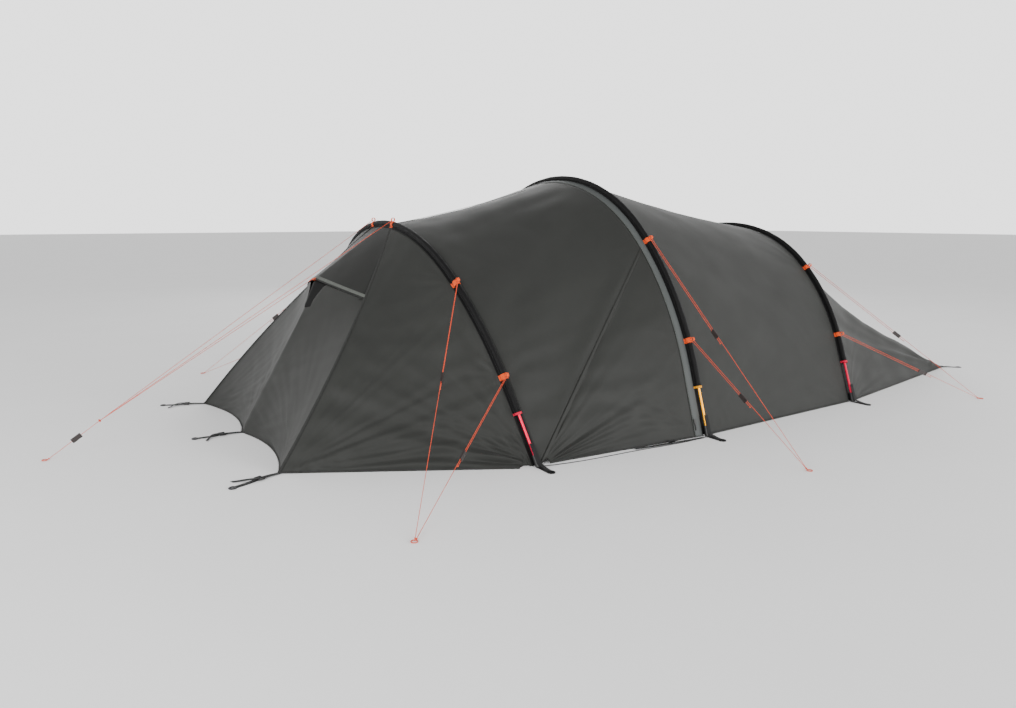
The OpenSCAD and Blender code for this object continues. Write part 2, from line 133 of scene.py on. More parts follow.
FRONT = Hoop("front", -1.180, 1.000, 0.890, 40, 64, -9)
MID = Hoop("middle", -0.330, 1.045, 1.100, 45, 72, 0)
REAR = Hoop("rear", 0.770, 1.000, 0.890, 40, 64, 14)
HOOPS = (FRONT, MID, REAR)


def toward(a, b, d):
    return a + (b - a).normalized() * d


def inward(p, cx, d):
    """p moved d metres towards the ground's centre line, at x = cx or at p's own x."""
    return toward(p, V(p.x if cx is None else cx, 0, 0), d)


def pull(p, cx, d):
    """inward, but kept at or above the ground."""
    return ground(inward(p, cx, d))


def side(p, k):
    """A near-side point as it is for k < 0, and mirrored to the far side otherwise."""
    return p.copy() if k < 0 else V(p.x, -p.y, p.z)


# ---- guy lines: the same points as part.scad -----------------------------------
LOOP_D, STRAND_GAP, LINE_D = 0.018, 0.008, 0.0020
LOOP_LIFT = 0.0004                # a loop's gap to the sleeve
LOOP_AT = (0.45, 0.75)            # upper and lower loop, as shares of half a hoop
PEG_Z = 0.0017
EYE_R, EYE_CORD_R, EYE_Z = 0.0095, 0.0015, 0.0022   # the cord loop round a peg
LINE_START = 0.006                # from a loop's middle to the line's first point
TAIL_LENGTH = 0.045               # free end of a line, past its tensioner
TIE_BACK = 0.006                  # from a line's end to its knot
END_KNOT_R, TIE_R, NOSE_KNOT_R = 0.0022, 0.0026, 0.0048
NOSE_KNOT_AT = 0.86               # share of the way from the front hoop to the nose peg
GROUND_CORD_D = 0.003
# hoop, its pegs' x and distance from the middle, and the share of the way down the
# upper and the lower line where the tensioner sits
SIDE_LINES = (
    (FRONT, (-1.875, 1.340), (0.45, 0.55)),
    (MID, (-0.360, 1.530), (0.46, 0.48)),
    (REAR, (1.390, 1.290), (0.53, 0.59)),
)
NOSE_PEG = V(-2.745, 0, PEG_Z)
NEAR_FAR = (("near", -1), ("far", 1))


def loop_centre(hoop, u):
    return hoop.at(u * hoop.s3, SLEEVE_R + LOOP_D / 2 + LOOP_LIFT)


def rim(c, p):
    return p + V(c.x - p.x, c.y - p.y, 0).normalized() * EYE_R


def frame_of(a, b):
    """Unit vectors along the line from a to b and across it, in its vertical plane."""
    z = (b - a).normalized()
    yaw = math.atan2(z.y, z.x)
    pitch = math.acos(z.z)
    return z, V(cos(pitch) * cos(yaw), cos(pitch) * sin(yaw), -sin(pitch))


# ---- mesh and material tools -----------------------------------------------------
def obj_from(name, verts, faces, mat, uvs=None):
    mesh = bpy.data.meshes.new(name)
    mesh.from_pydata([tuple(v) for v in verts], [], faces)
    mesh.update()
    if uvs:
        layer = mesh.uv_layers.new(name="UVMap")
        for poly in mesh.polygons:
            for li in poly.loop_indices:
                layer.data[li].uv = uvs[mesh.loops[li].vertex_index]
    for poly in mesh.polygons:
        poly.use_smooth = True
    mesh.materials.append(mat)
    ob = bpy.data.objects.new(name, mesh)
    bpy.context.scene.collection.objects.link(ob)
    return ob


def solidify(ob, thick, offset=-1):
    m = ob.modifiers.new("thickness", "SOLIDIFY")
    m.thickness = thick
    m.offset = offset
    m.use_even_offset = False
    return ob


def done(ob, slot, body=TENT, nodes=()):
    if nodes:
        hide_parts(*nodes)
    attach(ob, body)
    return ob


def sheet_grid(name, rows, mat, cx=None, fold=None, thick=CLOTH_T):
    """A grid of points as a mesh with UVs in metres, with its flat size and area before folds.

    fold(p, v, u) gives a shift along the outward normal; v and u run from 0 to 1 down and
    along the rows. The cloth faces away from the ground's centre line at x = cx.
    """
    n, m = len(rows), len(rows[0])
    flat = [[p.copy() for p in r] for r in rows]

    def normal(i, j):
        a = rows[min(i + 1, n - 1)][j] - rows[max(i - 1, 0)][j]
        b = rows[i][min(j + 1, m - 1)] - rows[i][max(j - 1, 0)]
        q = a.cross(b)
        if q.length < 1e-12:
            return V(0, 0, 0)
        q.normalize()
        p = rows[i][j]
        out = p - V(p.x if cx is None else cx, 0, 0)
        return q if q.dot(out) >= 0 else -q

    if fold:
        flat = [[rows[i][j] + normal(i, j) * fold(rows[i][j], i / (n - 1), j / (m - 1))
                 for j in range(m)] for i in range(n)]
        flat = [[above(p, 0.0008) for p in r] for r in flat]
    verts = [p for r in flat for p in r]
    us = [0.0]
    for j in range(1, m):
        us.append(us[-1] + max((rows[i][j] - rows[i][j - 1]).length for i in (0, n // 2, n - 1)))
    vs = [0.0]
    for i in range(1, n):
        vs.append(vs[-1] + max((rows[i][j] - rows[i - 1][j]).length for j in (0, m // 2, m - 1)))
    uvs = [(us[j], vs[i]) for i in range(n) for j in range(m)]
    faces = [(i * m + j, i * m + j + 1, (i + 1) * m + j + 1, (i + 1) * m + j)
             for i in range(n - 1) for j in range(m - 1)]
    mid = rows[n // 2][m // 2]
    a = rows[n // 2][min(m // 2 + 1, m - 1)] - mid
    b = rows[min(n // 2 + 1, n - 1)][m // 2] - mid
    if a.cross(b).dot(mid - V(mid.x if cx is None else cx, 0, 0)) < 0:
        faces = [f[::-1] for f in faces]
    ob = obj_from(name, verts, faces, mat, uvs)
    solidify(ob, thick)
    width = max(sum((r[j] - r[j - 1]).length for j in range(1, m)) for r in rows)
    length = max(sum((rows[i][j] - rows[i - 1][j]).length for i in range(1, n)) for j in range(m))
    area = 0.0
    for i in range(n - 1):
        for j in range(m - 1):
            p, q, r, s = rows[i][j], rows[i][j + 1], rows[i + 1][j + 1], rows[i + 1][j]
            area += ((q - p).cross(r - p).length + (r - p).cross(s - p).length) / 2
    return ob, (width, length), min(area, width * length)


def steps(a, b, n):
    return [lerp(a, b, i / n) for i in range(n + 1)]


def strip(name, pts, across, width, mat, thick=TAPE_T, cols=4):
    """A flat strip that follows pts; across is a unit vector or a list of them."""
    verts, faces, uvs, run = [], [], [], 0.0
    for i, p in enumerate(pts):
        a = across[i] if isinstance(across, (list, tuple)) else across
        if i:
            run += (p - pts[i - 1]).length
        for j in range(cols + 1):
            t = j / cols - 0.5
            verts.append(above(p + a * (t * width), 0.0012))
            uvs.append((t * width, run))
    w = cols + 1
    for i in range(len(pts) - 1):
        for j in range(cols):
            faces.append((i * w + j, i * w + j + 1, (i + 1) * w + j + 1, (i + 1) * w + j))
    ob = obj_from(name, verts, faces, mat, uvs)
    solidify(ob, thick, 0)
    bevel = ob.modifiers.new("edge", "BEVEL")
    bevel.width = thick * 0.3
    bevel.segments = 2
    return ob


def curve(name, pts, r, mat, cyclic=False):
    """A round cord of radius r through pts."""
    data = bpy.data.curves.new(name, "CURVE")
    data.dimensions = "3D"
    data.bevel_depth = r
    data.bevel_resolution = 3
    data.use_fill_caps = True
    spline = data.splines.new("POLY")
    spline.points.add(len(pts) - 1)
    for q, p in zip(spline.points, pts):
        q.co = (*p, 1)
    spline.use_cyclic_u = cyclic
    spline.use_smooth = True
    data.materials.append(mat)
    ob = bpy.data.objects.new(name, data)
    bpy.context.scene.collection.objects.link(ob)
    return ob


class Mat:
    """A procedural material built up from noise and wave nodes."""

    def __init__(self, name, colour, rough=0.6, metal=0.0, **sockets):
        self.m = bpy.data.materials.new(name)
        self.m.use_nodes = True
        self.t = self.m.node_tree
        self.b = self.t.nodes["Principled BSDF"]
        self.b.inputs["Roughness"].default_value = rough
        self.b.inputs["Metallic"].default_value = metal
        for k, v in sockets.items():
            self.b.inputs[k.replace("_", " ")].default_value = v
        self.colour = colour

    def add(self, kind, **kw):
        n = self.t.nodes.new(kind)
        for k, v in kw.items():
            if k in n.inputs:
                n.inputs[k].default_value = v
            else:
                setattr(n, k, v)
        return n

    def link(self, a, b):
        self.t.links.new(a, b)

    def coords(self, kind):
        return self.add("ShaderNodeTexCoord").outputs[kind]

    def noise(self, co, scale, detail=3):
        n = self.add("ShaderNodeTexNoise", Scale=scale, Detail=detail)
        self.link(co, n.inputs["Vector"])
        return n.outputs["Fac"]

    def wave(self, co, scale, direction="X", profile="SIN"):
        n = self.add("ShaderNodeTexWave", Scale=scale, bands_direction=direction,
                     wave_profile=profile)
        self.link(co, n.inputs["Vector"])
        return n.outputs["Fac"]

    def math(self, op, a, b):
        n = self.add("ShaderNodeMath", operation=op)
        for k, x in enumerate((a, b)):
            if isinstance(x, (int, float)):
                n.inputs[k].default_value = x
            else:
                self.link(x, n.inputs[k])
        return n.outputs[0]

    def tint(self, fac, spread, to=None):
        """Base colour between a darker and a lighter tone, by fac; to is the lighter one."""
        r = self.add("ShaderNodeValToRGB")
        c = self.colour
        r.color_ramp.elements[0].position = 0.3
        r.color_ramp.elements[1].position = 0.7
        r.color_ramp.elements[0].color = (*[x * (1 - spread) for x in c], 1)
        light = [x * (1 + spread) for x in c] if to is None else to
        r.color_ramp.elements[1].color = (*light, 1)
        self.link(fac, r.inputs["Fac"])
        self.link(r.outputs["Color"], self.b.inputs["Base Color"])

    def rough(self, fac, low, high):
        n = self.add("ShaderNodeMapRange")
        n.inputs["To Min"].default_value = low
        n.inputs["To Max"].default_value = high
        self.link(fac, n.inputs["Value"])
        self.link(n.outputs["Result"], self.b.inputs["Roughness"])

    def bump(self, height, strength, distance):
        n = self.add("ShaderNodeBump", Strength=strength, Distance=distance)
        self.link(height, n.inputs["Height"])
        self.link(n.outputs["Normal"], self.b.inputs["Normal"])


def bands(pitch):
    """The wave texture's scale for bands pitch metres apart."""
    return 2 * pi / pitch / 20


def ripstop(name, colour, rough=0.55, spread=0.07, pitch=0.005, **kw):
    """Thin coated ripstop cloth: a fine weave with a raised grid thread."""
    m = Mat(name, colour, rough, Specular_IOR_Level=CLOTH_GLOSS, **kw)
    uv = m.coords("UV")
    grid = m.math("MAXIMUM", m.wave(uv, bands(pitch), "X"), m.wave(uv, bands(pitch), "Y"))
    thread = m.math("POWER", grid, 10)
    weave = m.math("ADD", m.wave(uv, 900, "X"), m.wave(uv, 900, "Y"))
    height = m.math("ADD", thread, m.math("MULTIPLY", weave, 0.15))
    blotch = m.noise(uv, 1.7, 5)
    m.tint(m.math("ADD", m.math("MULTIPLY", blotch, 0.85), m.math("MULTIPLY", thread, 0.12)),
           spread)
    m.rough(m.noise(uv, 6, 4), rough - 0.06, rough + 0.1)
    m.bump(height, 0.12, 0.0002)
    return m.m


def webbing(name, colour, spread=0.2, pitch=0.002):
    m = Mat(name, colour, 0.75, Sheen_Weight=0.05, Specular_IOR_Level=0.25)
    co = m.coords("UV")
    ribs = m.wave(co, bands(pitch), "DIAGONAL")
    m.tint(m.math("ADD", m.math("MULTIPLY", ribs, 0.4), m.math("MULTIPLY", m.noise(co, 60), 0.6)),
           spread)
    m.rough(m.noise(co, 90), 0.65, 0.9)
    m.bump(ribs, 0.5, 0.0004)
    return m.m


def plastic(name, colour, rough=0.45, spread=0.12):
    m = Mat(name, colour, rough)
    co = m.coords("Object")
    m.tint(m.noise(co, 35, 4), spread)
    m.rough(m.noise(co, 120, 4), rough - 0.08, rough + 0.15)
    m.bump(m.noise(co, 900, 2), 0.12, 0.0002)
    return m.m


def anodised(name, colour, rough=0.32):
    m = Mat(name, colour, rough, 0.75)
    co = m.coords("Object")
    m.tint(m.noise(co, 14, 4), 0.08)
    m.rough(m.noise(co, 220, 3), rough - 0.08, rough + 0.14)
    m.bump(m.noise(co, 1400, 2), 0.06, 0.0001)
    return m.m


def braid(name, colour, light):
    m = Mat(name, colour, 0.7, Sheen_Weight=0.05, Specular_IOR_Level=0.25)
    co = m.coords("Object")
    m.tint(m.wave(co, 120, "DIAGONAL"), 0.2, light)
    m.rough(m.noise(co, 200), 0.55, 0.85)
    m.bump(m.wave(co, 160, "Z"), 0.4, 0.0003)
    return m.m


CLOTH_GLOSS = 0.12
GREY = (0.0225, 0.0232, 0.0214)
M = {
    "skin": ripstop("skin_cloth", GREY, 0.56, Sheen_Weight=0.03),
    # the hood's cloth is the skin cloth scaled about 0.73 darker: painted shade on the vent hood at
    # the top
    "hood": ripstop("hood_cloth", (0.0165, 0.0170, 0.0158), 0.52, Sheen_Weight=0.03),
    "flap": ripstop("flap_cloth", (0.062, 0.067, 0.066), 0.5, 0.05),
    "sleeve": ripstop("sleeve_cloth", (0.0035, 0.0035, 0.0036), 0.6, 0.15, 0.003,
                      Sheen_Weight=0.03),
    "inner": ripstop("inner_cloth", (0.52, 0.49, 0.40), 0.7, 0.05),
    "floor": ripstop("floor_cloth", (0.03, 0.034, 0.036), 0.45, 0.12),
    "mesh": ripstop("vent_net", (0.008, 0.008, 0.008), 0.8, 0.2, 0.002),
    "piping": webbing("grey_piping", (0.075, 0.080, 0.072)),
    "seam": webbing("seam_tape", (0.0175, 0.018, 0.0168)),
    "webbing": webbing("black_webbing", (0.0035, 0.0035, 0.0038)),
    "orange": webbing("orange_webbing", (0.62, 0.065, 0.006)),
    "pink_band": webbing("pink_band", (0.50, 0.004, 0.035)),
    "gold_band": webbing("gold_band", (0.62, 0.26, 0.004)),
    "cup": plastic("moulded_plastic", (0.005, 0.005, 0.005)),
    "slider": plastic("slider_plastic", (0.016, 0.010, 0.009), 0.5),
    "pole": anodised("anodised_grey", (0.55, 0.56, 0.57)),
    "pole_pink": anodised("anodised_pink", (0.72, 0.006, 0.055)),
    "pole_gold": anodised("anodised_gold", (0.85, 0.36, 0.006)),
    "zip": plastic("zip_coil", (0.006, 0.006, 0.006), 0.5),
    "line": braid("guy_cord", (0.50, 0.030, 0.008), (0.68, 0.075, 0.018)),
    "dark_line": braid("ground_cord", (0.005, 0.005, 0.005), (0.012, 0.012, 0.012)),
    "ring": anodised("dark_ring", (0.02, 0.02, 0.022), 0.4),
}

# ---- cords -----------------------------------------------------------------------
def knot(name, p, axis, r, mat):
    """A small overhand knot: a trefoil of cord around axis."""
    z = axis.normalized()
    x = z.orthogonal().normalized()
    y = z.cross(x)
    pts = []
    for i in range(30):
        t = 2 * pi * i / 30
        q = V(sin(t) + 2 * sin(2 * t), cos(t) - 2 * cos(2 * t), -sin(3 * t)) * (r / 3)
        pts.append(p + x * q.x + y * q.y + z * q.z)
    return curve(name, pts, r * 0.42, mat, cyclic=True)


def eye(name, p, r, cord_r, mat):
    """A cord loop that lies flat round a peg hole."""
    pts = [p + V(r * cos(t), r * sin(t), 0) for t in [2 * pi * i / 32 for i in range(32)]]
    return curve(name, pts, cord_r, mat, cyclic=True)


def path_length(pts):
    return sum((pts[i] - pts[i - 1]).length for i in range(1, len(pts)))


for hoop, peg, places in SIDE_LINES:
    for tag, k in NEAR_FAR:
        p = V(peg[0], k * peg[1], PEG_Z)
        peg_eye = None                    # both lines of a side end at one eye
        for i, part in enumerate(("upper", "lower")):
            c = loop_centre(hoop, k * LOOP_AT[i])
            a = toward(c, p, LINE_START)
            e = rim(c, p)
            z, x = frame_of(a, e)
            # from the free end up beside the line, round the loop and down to the peg
            tail = a + z * (places[i] * (e - a).length + TAIL_LENGTH) + x * STRAND_GAP
            pts = steps(tail, a + x * STRAND_GAP, 8)
            r = STRAND_GAP / 2
            pts += [a + x * (r + r * cos(t)) - z * (r * sin(t))
                    for t in [pi * j / 12 for j in range(1, 12)]]
            pts += steps(a, e, 14)
            name = f"line_{hoop.name}_{tag}_{part}"
            line = curve(name, pts, LINE_D / 2, M["line"])
            end_knot = knot(name + "_knot", tail + z * 0.001, z, END_KNOT_R, M["line"])
            done(end_knot, "guy_line")
            if peg_eye is None:
                peg_eye = eye(name + "_eye", V(p.x, p.y, EYE_Z), EYE_R, EYE_CORD_R, M["line"])
                done(peg_eye, "guy_line")
            tie = knot(name + "_tie", e - z * TIE_BACK, z, TIE_R, M["line"])
            done(tie, "guy_line")
            done(line, "guy_line", nodes=[f"{hoop.name}_guy_{tag}"] if i == 0 else ())
            path_length(pts)

# at the nose: two lines from the hoop and one from the hood meet in a knot
nose_start = FRONT.at(0, SLEEVE_R + LOOP_D / 2 + LOOP_LIFT)
nose_knot = lerp(nose_start, NOSE_PEG, NOSE_KNOT_AT)
nose_end = rim(nose_knot, NOSE_PEG)
HOOD_TIP = V(-1.655, 0, 0.640)
nose_dir = (nose_end - nose_knot).normalized()
big_knot = knot("nose_knot", nose_knot, nose_dir, NOSE_KNOT_R, M["line"])
nose_eye = eye("nose_eye", V(NOSE_PEG.x, 0, EYE_Z), EYE_R, EYE_CORD_R, M["line"])
nose_tie = knot("nose_tie", nose_end - nose_dir * TIE_BACK, nose_dir, TIE_R, M["line"])
for ob in (big_knot, nose_eye, nose_tie):
    done(ob, "guy_line")
for tag, k in NEAR_FAR:
    c = loop_centre(FRONT, k * CROWN)
    a = toward(c, NOSE_PEG, LINE_START)
    pts = steps(a, nose_knot, 16)
    if k < 0:
        pts += steps(nose_knot, nose_end, 6)[1:]
    line = curve(f"line_nose_{tag}", pts, LINE_D / 2, M["line"])
    done(line, "guy_line", nodes=["nose_guy"] if k < 0 else ())
    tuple(a)
    path_length(pts)
pts = steps(HOOD_TIP + V(-0.006, 0, 0.002), nose_knot, 16)
line = curve("line_nose_hood", pts, LINE_D / 2, M["line"])
done(line, "guy_line")
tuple(pts[0])
path_length(pts)

# dark cords on the ground, from the front feet to the middle ones
for tag, k in NEAR_FAR:
    a = FRONT.on(k, 0, 0) + V(0.016, k * 0.012, 0)
    b = MID.on(k, 0, 0) + V(-0.016, k * 0.012, 0)
    pts = []
    for i in range(25):
        t = i / 24
        q = lerp(a, b, t)
        bow = 4 * t * (1 - t)
        pts.append(V(q.x, q.y + k * (0.010 * bow + 0.004 * sin(9 * t) * bow),
                     0.0016 + 0.004 * (abs(1 - 2 * t) ** 8)))
    line = curve(f"ground_cord_{tag}", pts, GROUND_CORD_D / 2, M["dark_line"])
    done(line, "webbing")
    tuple(pts[0])
    path_length(pts)

# ---- cloth -------------------------------------------------------------------------
FRONT_TOE = FRONT.on(-1, SEAT, EDGE)
DOOR_TOE = toward(FRONT_TOE, MID.on(-1, SEAT, -EDGE), 0.014)
NOSE_MID = V(-2.005, 0, 0)
VENT_SILL = V(-1.702, 0, 0.518)
VENT_T = 0.34                     # share of the vestibule's seam that the hood covers
SEAM_BULGE, HEM_CURVE = 0.075, 0.045
VEST_C = -1.050                   # the vestibule's cloth faces away from this x
NOSE_NEAR = V(-2.030, -0.590, 0)
SEAM_TOP = FRONT.on(-CROWN, SEAT, -EDGE)
TAIL_X, TAIL_Y = 2.095, 0.760     # the tail's corners
TAIL_SHARE, TAIL_CURVE = 0.5, 0.070


def rays(p, c, freq, amp, fade, seed, low=9.0):
    """Folds that radiate from the corner c and fade away; low keeps them near the ground."""
    d = p - c
    r = d.length
    if r < 1e-6:
        return 0.0
    rise = d.z / r
    amp *= (1 - math.exp(-r / 0.07)) * math.exp(-r / fade) * math.exp(-(rise / low) ** 2)
    return amp * noise.noise(d / r * freq + V(seed, seed * 1.7, 0))


# corner, then the frequency, height, fade length, seed and low of its folds
CORNERS = []
for k in (-1, 1):
    s = 0 if k < 0 else 40
    CORNERS += [
        (side(FRONT_TOE, k), 12.0, 0.024, 0.60, 3.1 + s, 0.62),
        (side(FRONT.on(-1, SEAT, -EDGE), k), 12.0, 0.010, 0.25, 5.3 + s, 0.5),
        (side(NOSE_NEAR, k), 19.0, 0.034, 0.80, 7.7 + s, 0.50),
        (side(MID.on(-1, SEAT, -EDGE), k), 12.0, 0.010, 0.30, 1.9 + s, 0.6),
        (side(MID.on(-1, SEAT, EDGE), k), 12.0, 0.012, 0.45, 2.3 + s, 0.6),
        (side(REAR.on(-1, SEAT, -EDGE), k), 12.0, 0.012, 0.40, 8.1 + s, 0.6),
        (V(TAIL_X, k * TAIL_Y, 0), 15.0, 0.030, 0.80, 4.4 + s, 2.0),
    ]
    for hoop in HOOPS:
        for u in LOOP_AT:
            CORNERS.append((hoop.at(k * u * hoop.s3, SEAT), 5.0, 0.009, 0.10, 6.6 + s + u, 9.0))
CORNERS.append((NOSE_MID, 9.0, 0.014, 0.30, 9.4, 9.0))


def folds(p):
    total = 0.0025 * noise.noise(p * 2.3) + 0.0009 * noise.noise(p * 7.0)
    for c, freq, amp, fade, seed, low in CORNERS:
        if (p - c).length < 4 * fade:
            total += rays(p, c, freq, amp, fade, seed, low)
    return total


def window(t, width):
    """1 in the middle of t's range, falling to 0 at both of its ends."""
    return smooth(min(t, 1 - t) / width)


def span_folds(p, u, t, seed, amp=0.004):
    """Long folds between two hoops."""
    return amp * noise.noise(V(p.x * 1.1 + seed, u * 16, seed)) * window(t, 0.25)


def flap_edge(u, d):
    """The point d metres in front of the middle hoop's cloth edge, at share u."""
    p = MID.on(u, SEAT, -EDGE)
    target = side(FRONT_TOE, u) if abs(u) > ZIP_TOP else FRONT.on(u / ZIP_TOP, SEAT, EDGE)
    return ground(toward(p, target, d))


def cloth(name, rows, mat, slot, nodes, body=TENT, cx=None, fold=None,
          thick=CLOTH_T):
    """A panel of cloth that stands for its CAD nodes."""
    ob, flat, area = sheet_grid(name, rows, mat, cx, fold, thick)
    done(ob, slot, body, nodes)
    return ob


# front roof: from the zip line on the middle hoop to the whole front hoop
def front_roof(u, t):
    q, p = FRONT.on(u, SEAT, EDGE), flap_edge(u * ZIP_TOP, SEAM_LAP)
    return pull(lerp(p, q, t), None, 0.016 * 4 * t * (1 - t) * (1 - abs(u) ** 4))


rows = [[front_roof(u, t) for u in steps(-1, 1, 150)] for t in steps(0, 1, 60)]
cloth("front_roof_cloth", rows, M["skin"], "skin", ["front_roof"],
      fold=lambda p, t, u: (window(t, 0.06) * smooth(min(u, 1 - u) / 0.02)
                            * (folds(p) + span_folds(p, u, t, 1.5, 0.010))))


def door(t, f):
    u = -lerp(ZIP_TOP + 0.001, 1, f)
    p = ground(toward(MID.on(u, SEAT, -EDGE), DOOR_TOE, SEAM_LAP))
    return pull(lerp(p, toward(DOOR_TOE, p, 0.03), t), None, 0.010 * 4 * t * (1 - t) * sin(pi * f))


for tag, k in NEAR_FAR:
    rows = [[side(door(t, f), k) for f in steps(0, 1, 60)] for t in steps(0, 1, 70)]
    cloth(f"door_{tag}_cloth", rows, M["skin"], "skin", [f"door_{tag}"], f"side_door_{tag}",
          fold=lambda p, t, f: window(t, 0.05) * smooth(f / 0.04) * folds(p))

rows = [[flap_edge(u, t * FLAP_W) for u in steps(-1, 1, 220)] for t in steps(0, 1, 6)]
cloth("storm_flap_cloth", rows, M["flap"], "flap", ["storm_flap"],
      fold=lambda p, t, u: (0.0028 * sin(pi * t) + 0.0012 * t * noise.noise(V(u * 60, 0, 3))
                            + 0.001))


def rear_roof(u, t):
    return pull(lerp(MID.on(u, SEAT, EDGE), REAR.on(u, SEAT, -EDGE), t), None,
                0.016 * 4 * t * (1 - t) * (1 - abs(u) ** 6))


rows = [[rear_roof(u, t) for u in steps(-1, 1, 170)] for t in steps(0, 1, 70)]
cloth("rear_roof_cloth", rows, M["skin"], "skin", ["rear_roof"],
      fold=lambda p, t, u: window(t, 0.05) * (folds(p) + span_folds(p, u, t, 7.5, 0.007)))


def tail_hem(u):
    k, s = abs(u), (u > 0) - (u < 0)
    foot = REAR.on(s or 1, SEAT, EDGE) + V(0.060, -s * 0.010, 0)
    if k >= TAIL_SHARE:
        return lerp(V(TAIL_X, s * TAIL_Y, 0), V(foot.x, foot.y, 0),
                    (k - TAIL_SHARE) / (1 - TAIL_SHARE))
    return V(TAIL_X - TAIL_CURVE * (1 - (k / TAIL_SHARE) ** 2), TAIL_Y * u / TAIL_SHARE, 0)


def tail(u, t):
    return pull(lerp(REAR.on(u, SEAT, EDGE), tail_hem(u), t), REAR.x,
                0.055 * 4 * t * (1 - t) * (1 - abs(u) ** 4))


rows = [[tail(u, t) for u in steps(-1, 1, 160)] for t in steps(0, 1, 80)]
cloth("tail_cloth", rows, M["skin"], "skin", ["tail_panel"], cx=REAR.x,
      fold=lambda p, t, u: (smooth(t / 0.05) * smooth((1 - t) / 0.02) * (
          folds(p) + 0.004 * noise.noise(V(u * 20, t * 2, 4)) * window(t, 0.3))))


def seam(t):
    """The near seam between the vestibule's side and its centre, from the hoop to the nose."""
    return lerp(SEAM_TOP, NOSE_NEAR, t) + V(0, -SEAM_BULGE * 4 * t * (1 - t),
                                            0.012 * 4 * t * (1 - t))


def vestibule(u, t):
    f = (1 + u) / (1 - CROWN)
    w, b = f ** 3, 4 * t * (1 - t)
    foot = FRONT.on(-1, SEAT, -EDGE) + V(-0.060, 0.006, 0)
    q = lerp(V(foot.x, foot.y, 0), NOSE_NEAR, f)
    p = lerp(FRONT.on(u, SEAT, -EDGE), q, t) + V(0, -SEAM_BULGE, 0.012) * (w * b)
    return pull(p, VEST_C, 0.020 * b * (1 - w))


for tag, k in NEAR_FAR:
    rows = [[side(vestibule(u, t), k) for u in steps(-1, -CROWN, 100)] for t in steps(0, 1, 90)]
    cloth(f"vestibule_{tag}_cloth", rows, M["skin"], "skin", [f"vestibule_{tag}"], cx=VEST_C,
          fold=lambda p, t, f: smooth(t / 0.05) * smooth((1 - f) / 0.05) * folds(p))


def across(mid, edge, k):
    """From the far edge (k = 1) through mid (0) to the near edge (-1)."""
    return lerp(mid, side(edge, k), abs(k))


def hood(v, k):
    p = across(lerp(FRONT.on(0, SEAT, -EDGE), HOOD_TIP, v), seam(VENT_T * v), k)
    return p + V(-0.012, 0, 0.004) * (4 * abs(k) * (1 - abs(k)) * v)


def centre(v, k):
    t = lerp(VENT_T + 0.004, 1, v)
    p = across(lerp(VENT_SILL, NOSE_MID, v), seam(t), k)
    under = inward(hood(1, k), VEST_C, 0.004)
    p = lerp(p, under, smooth(abs(k) / 0.32) * max(0.0, 1 - v / 0.22) ** 2)
    q = pull(p, VEST_C, 0.010 * 4 * abs(k) * (1 - abs(k)) * smooth(v / 0.1))
    return ground(q + V(HEM_CURVE * v ** 3 * 4 * abs(k) * (1 - abs(k)), 0, 0))


rows = [[centre(v, k) for k in steps(-1, 1, 80)] for v in steps(0, 1, 90)]
cloth("vestibule_centre_cloth", rows, M["skin"], "skin", ["vestibule_centre"], cx=VEST_C,
      fold=lambda p, t, k: window(k, 0.06) * smooth(t / 0.05) * 0.22 * folds(p))


# the vent hood takes the darker copy of the skin cloth, which paints shade on it
rows = [[hood(v, k) for k in steps(-1, 1, 48)] for v in steps(0, 1, 50)]
cloth("vent_hood_cloth", rows, M["hood"], "skin", ["vent_hood"], cx=VEST_C,
      fold=lambda p, t, k: window(k, 0.08) * smooth(t / 0.1) * 0.5 * folds(p))
brim = [hood(0.965, k) + V(-0.0008, 0, 0.0016) for k in steps(-0.995, 0.995, 60)]
brim_across = [(hood(1, k) - hood(0.93, k)).normalized() for k in steps(-0.995, 0.995, 60)]
done(strip("hood_brim_tape", brim, brim_across, 0.015, M["piping"]), "flap")


def mesh_point(v, k):
    edge = seam(VENT_T)
    top = inward(across(HOOD_TIP, edge, k), VEST_C, 0.006)
    low = inward(across(VENT_SILL, edge, k), VEST_C, -0.003)
    return lerp(top, low, v)


rows = [[mesh_point(v, k) for k in steps(-0.96, 0.96, 40)] for v in steps(0, 1, 14)]
cloth("vent_mesh_net", rows, M["mesh"], "mesh", ["vent_mesh"], cx=VEST_C,
      thick=NET_T)


# ---- seams and hems ------------------------------------------------------------------
def seam_strip(name, f, n, width, cx, body=TENT, lift=0.0011):
    """A felled seam along f(t), t from 0 to 1, raised lift metres off the cloth."""
    pts = [f(t) for t in steps(0, 1, n)]
    cross = []
    out = []
    for i, p in enumerate(pts):
        d = (pts[min(i + 1, n)] - pts[max(i - 1, 0)]).normalized()
        nrm = p - V(p.x if cx is None else cx, 0, 0)
        nrm = (nrm - d * nrm.dot(d)).normalized()
        cross.append(d.cross(nrm).normalized())
        out.append(above(p + nrm * lift, 0.0012))
    done(strip(name, out, cross, width, M["seam"], SEAM_T), "skin", body)


